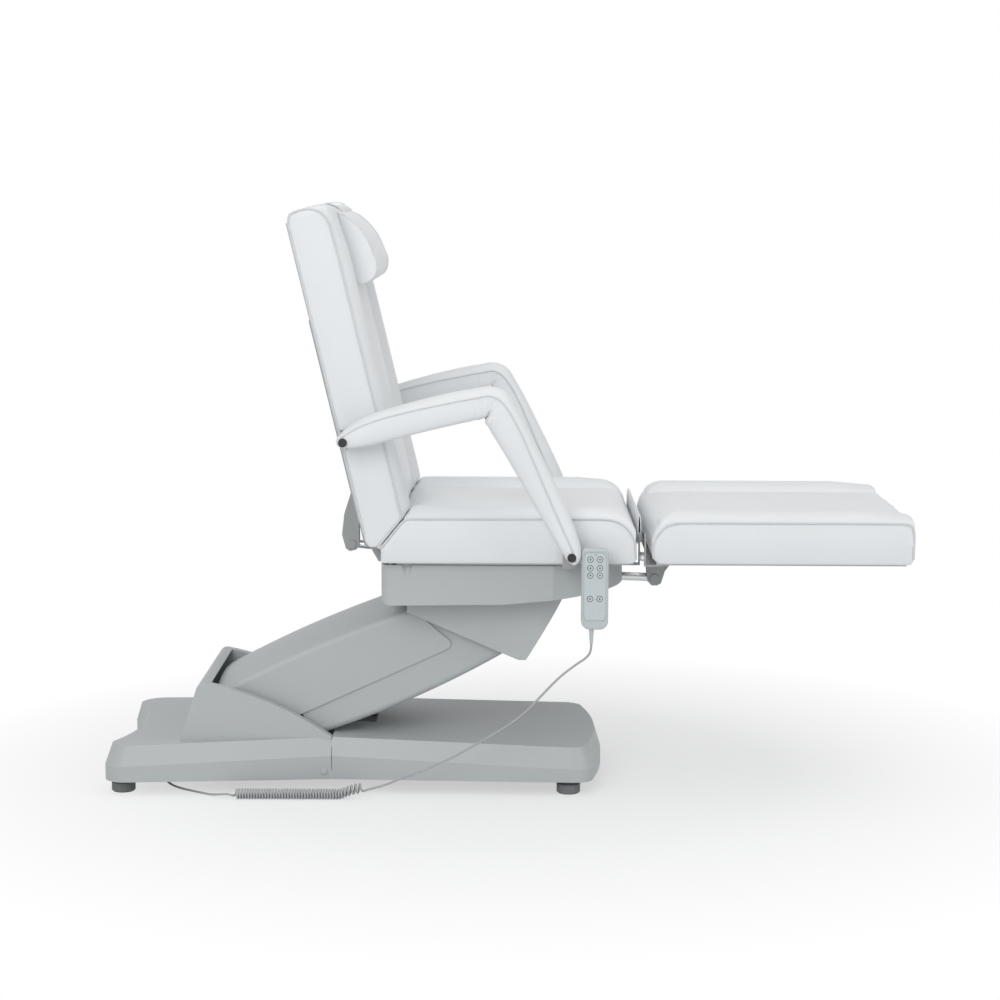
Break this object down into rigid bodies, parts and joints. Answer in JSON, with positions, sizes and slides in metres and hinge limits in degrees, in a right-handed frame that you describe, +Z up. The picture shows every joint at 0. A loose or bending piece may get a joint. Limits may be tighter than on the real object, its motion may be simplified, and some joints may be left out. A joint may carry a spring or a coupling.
{
  "type": "beauty treatment chair",
  "caption": "Electric beauty treatment chair: padded seat, reclining back with head pillow and linked armrests, folding leg rest, lifting arm on a moulded base, corded handset.",
  "frame": {"origin": "on the floor under the middle of the chair's box, cord left out", "axes": "+X towards the leg rest, +Y towards the sitter's left, +Z up"},
  "size_m": [1.684, 0.766, 1.2407],
  "materials": {
    "board": "plywood",
    "bright_steel": "ground steel",
    "cord": "grey cord jacket",
    "drive_case": "dark grey housing",
    "foot_rubber": "mid grey",
    "frame_steel": "grey powder coat",
    "handset": "blue grey",
    "key": "pale soft key",
    "moulding": "satin moulded plastic, light cool grey",
    "screw": "black",
    "upholstery": "soft coated cloth, near white"
  },
  "bodies": {
    "base": {"base_frame": "frame_steel", "base_pivot_pins": "bright_steel", "foot_rear_right": "foot_rubber", "foot_rear_left": "foot_rubber", "foot_front_right": "foot_rubber", "foot_front_left": "foot_rubber", "base_cover_rear": "moulding", "base_cover_front": "moulding", "cover_screw_caps": "moulding", "control_box": "drive_case", "cord_coil": "cord", "cord_gland": "cord"},
    "lift_arm": {"lift_arm_frame": "frame_steel", "arm_cover_upper": "moulding", "arm_cover_lower": "moulding"},
    "tie_link": {"tie_link": "frame_steel"},
    "lift_drive": {"lift_drive_case": "drive_case"},
    "lift_rod": {"lift_drive_rod": "bright_steel"},
    "seat": {"seat_frame": "frame_steel", "seat_pivot_pins": "bright_steel", "seat_board": "board", "seat_cushion": "upholstery", "seat_gap_flap": "upholstery", "seat_shroud": "moulding", "armrest_brackets": "frame_steel", "handset_hook": "frame_steel", "handset_case": "handset", "cord_run": "cord"},
    "back": {"back_frame": "frame_steel", "back_board": "board", "back_cushion": "upholstery", "head_pillow": "upholstery", "pillow_strap": "upholstery", "armrest_rear_bosses": "frame_steel"},
    "back_drive": {"back_drive_case": "drive_case"},
    "back_rod": {"back_drive_rod": "bright_steel"},
    "legrest": {"legrest_frame": "frame_steel", "legrest_board": "board", "legrest_cushion": "upholstery"},
    "leg_drive": {"leg_drive_case": "drive_case"},
    "leg_rod": {"leg_drive_rod": "bright_steel"},
    "strut_right": {"strut_bar_right": "screw", "strut_pad_right": "upholstery"},
    "arm_right": {"arm_bar_right": "screw", "arm_pad_right": "upholstery"},
    "strut_left": {"strut_bar_left": "screw", "strut_pad_left": "upholstery"},
    "arm_left": {"arm_bar_left": "screw", "arm_pad_left": "upholstery"},
    "key_1": {"key_1": "key"},
    "key_2": {"key_2": "key"},
    "key_3": {"key_3": "key"},
    "key_4": {"key_4": "key"},
    "key_5": {"key_5": "key"},
    "key_6": {"key_6": "key"},
    "key_7": {"key_7": "key"},
    "key_8": {"key_8": "key"}
  },
  "joints": [
    {"name": "lift", "type": "hinge", "parent": "base", "child": "lift_arm", "pos_m": [-0.53, 0, 0.15], "axis": [0, -1, 0], "range_deg": [0, 36], "deforming": ["cord_run"]},
    {"name": "tie_turn", "type": "hinge", "parent": "base", "child": "tie_link", "pos_m": [-0.488, 0, 0.102], "axis": [0, -1, 0], "range_deg": [-1, 37]},
    {"name": "seat_level", "type": "hinge", "parent": "lift_arm", "child": "seat", "pos_m": [-0.03225, 0, 0.37684], "axis": [0, -1, 0], "range_deg": [-37, 1]},
    {"name": "lift_drive_turn", "type": "hinge", "parent": "base", "child": "lift_drive", "pos_m": [-0.42, 0, 0.064], "axis": [0, -1, 0], "range_deg": [-1, 40]},
    {"name": "lift_drive_stroke", "type": "slide", "parent": "lift_drive", "child": "lift_rod", "axis": [0.7822, 0, 0.623], "range_m": [-0.002, 0.092]},
    {"name": "recline", "type": "hinge", "parent": "seat", "child": "back", "pos_m": [-0.2605, 0, 0.531], "axis": [0, -1, 0], "range_deg": [0, 76.5]},
    {"name": "back_drive_turn", "type": "hinge", "parent": "seat", "child": "back_drive", "pos_m": [0.07, 0.05, 0.449], "axis": [0, -1, 0], "range_deg": [-2, 10]},
    {"name": "back_drive_stroke", "type": "slide", "parent": "back_drive", "child": "back_rod", "axis": [-0.9938, 0, 0.1116], "range_m": [-0.0965, 0.0005]},
    {"name": "strut_turn_right", "type": "hinge", "parent": "seat", "child": "strut_right", "pos_m": [0.135, -0.35, 0.529], "axis": [0, -1, 0], "range_deg": [-2, 60]},
    {"name": "elbow_right", "type": "hinge", "parent": "strut_right", "child": "arm_right", "pos_m": [-0.04, -0.35, 0.822], "axis": [0, -1, 0], "range_deg": [-70, 2]},
    {"name": "strut_turn_left", "type": "hinge", "parent": "seat", "child": "strut_left", "pos_m": [0.135, 0.35, 0.529], "axis": [0, -1, 0], "range_deg": [-2, 60]},
    {"name": "elbow_left", "type": "hinge", "parent": "strut_left", "child": "arm_left", "pos_m": [-0.04, 0.35, 0.822], "axis": [0, -1, 0], "range_deg": [-70, 2]},
    {"name": "leg_drop", "type": "hinge", "parent": "seat", "child": "legrest", "pos_m": [0.283, 0, 0.515], "axis": [0, 1, 0], "range_deg": [0, 80]},
    {"name": "leg_drive_turn", "type": "hinge", "parent": "seat", "child": "leg_drive", "pos_m": [-0.06, -0.05, 0.452], "axis": [0, -1, 0], "range_deg": [-2, 8]},
    {"name": "leg_drive_stroke", "type": "slide", "parent": "leg_drive", "child": "leg_rod", "axis": [0.9993, 0, -0.0382], "range_m": [-0.109, 0.0005]},
    {"name": "key_1_press", "type": "slide", "parent": "seat", "child": "key_1", "axis": [0, 1, 0], "range_m": [0, 0.0008], "stiffness_N_per_m": 300},
    {"name": "key_2_press", "type": "slide", "parent": "seat", "child": "key_2", "axis": [0, 1, 0], "range_m": [0, 0.0008], "stiffness_N_per_m": 300},
    {"name": "key_3_press", "type": "slide", "parent": "seat", "child": "key_3", "axis": [0, 1, 0], "range_m": [0, 0.0008], "stiffness_N_per_m": 300},
    {"name": "key_4_press", "type": "slide", "parent": "seat", "child": "key_4", "axis": [0, 1, 0], "range_m": [0, 0.0008], "stiffness_N_per_m": 300},
    {"name": "key_5_press", "type": "slide", "parent": "seat", "child": "key_5", "axis": [0, 1, 0], "range_m": [0, 0.0008], "stiffness_N_per_m": 300},
    {"name": "key_6_press", "type": "slide", "parent": "seat", "child": "key_6", "axis": [0, 1, 0], "range_m": [0, 0.0008], "stiffness_N_per_m": 300},
    {"name": "key_7_press", "type": "slide", "parent": "seat", "child": "key_7", "axis": [0, 1, 0], "range_m": [0, 0.0008], "stiffness_N_per_m": 300},
    {"name": "key_8_press", "type": "slide", "parent": "seat", "child": "key_8", "axis": [0, 1, 0], "range_m": [0, 0.0008], "stiffness_N_per_m": 300}
  ],
  "couplings": [
    {"joint": "tie_turn", "follows": "lift", "ratio": 1},
    {"joint": "seat_level", "follows": "lift", "ratio": -1},
    {"joint": "lift_drive_turn", "follows": "lift", "ratio": 0.97881},
    {"joint": "lift_drive_stroke", "follows": "lift", "m_per_rad": 0.13698},
    {"joint": "back_drive_turn", "follows": "recline", "ratio": 0.084713},
    {"joint": "back_drive_stroke", "follows": "recline", "m_per_rad": -0.072028},
    {"joint": "strut_turn_right", "follows": "recline", "ratio": 0.75803},
    {"joint": "elbow_right", "follows": "recline", "ratio": -0.87913},
    {"joint": "strut_turn_left", "follows": "recline", "ratio": 0.75803},
    {"joint": "elbow_left", "follows": "recline", "ratio": -0.87913},
    {"joint": "leg_drive_turn", "follows": "leg_drop", "ratio": 0.057805},
    {"joint": "leg_drive_stroke", "follows": "leg_drop", "m_per_rad": -0.077542}
  ]
}
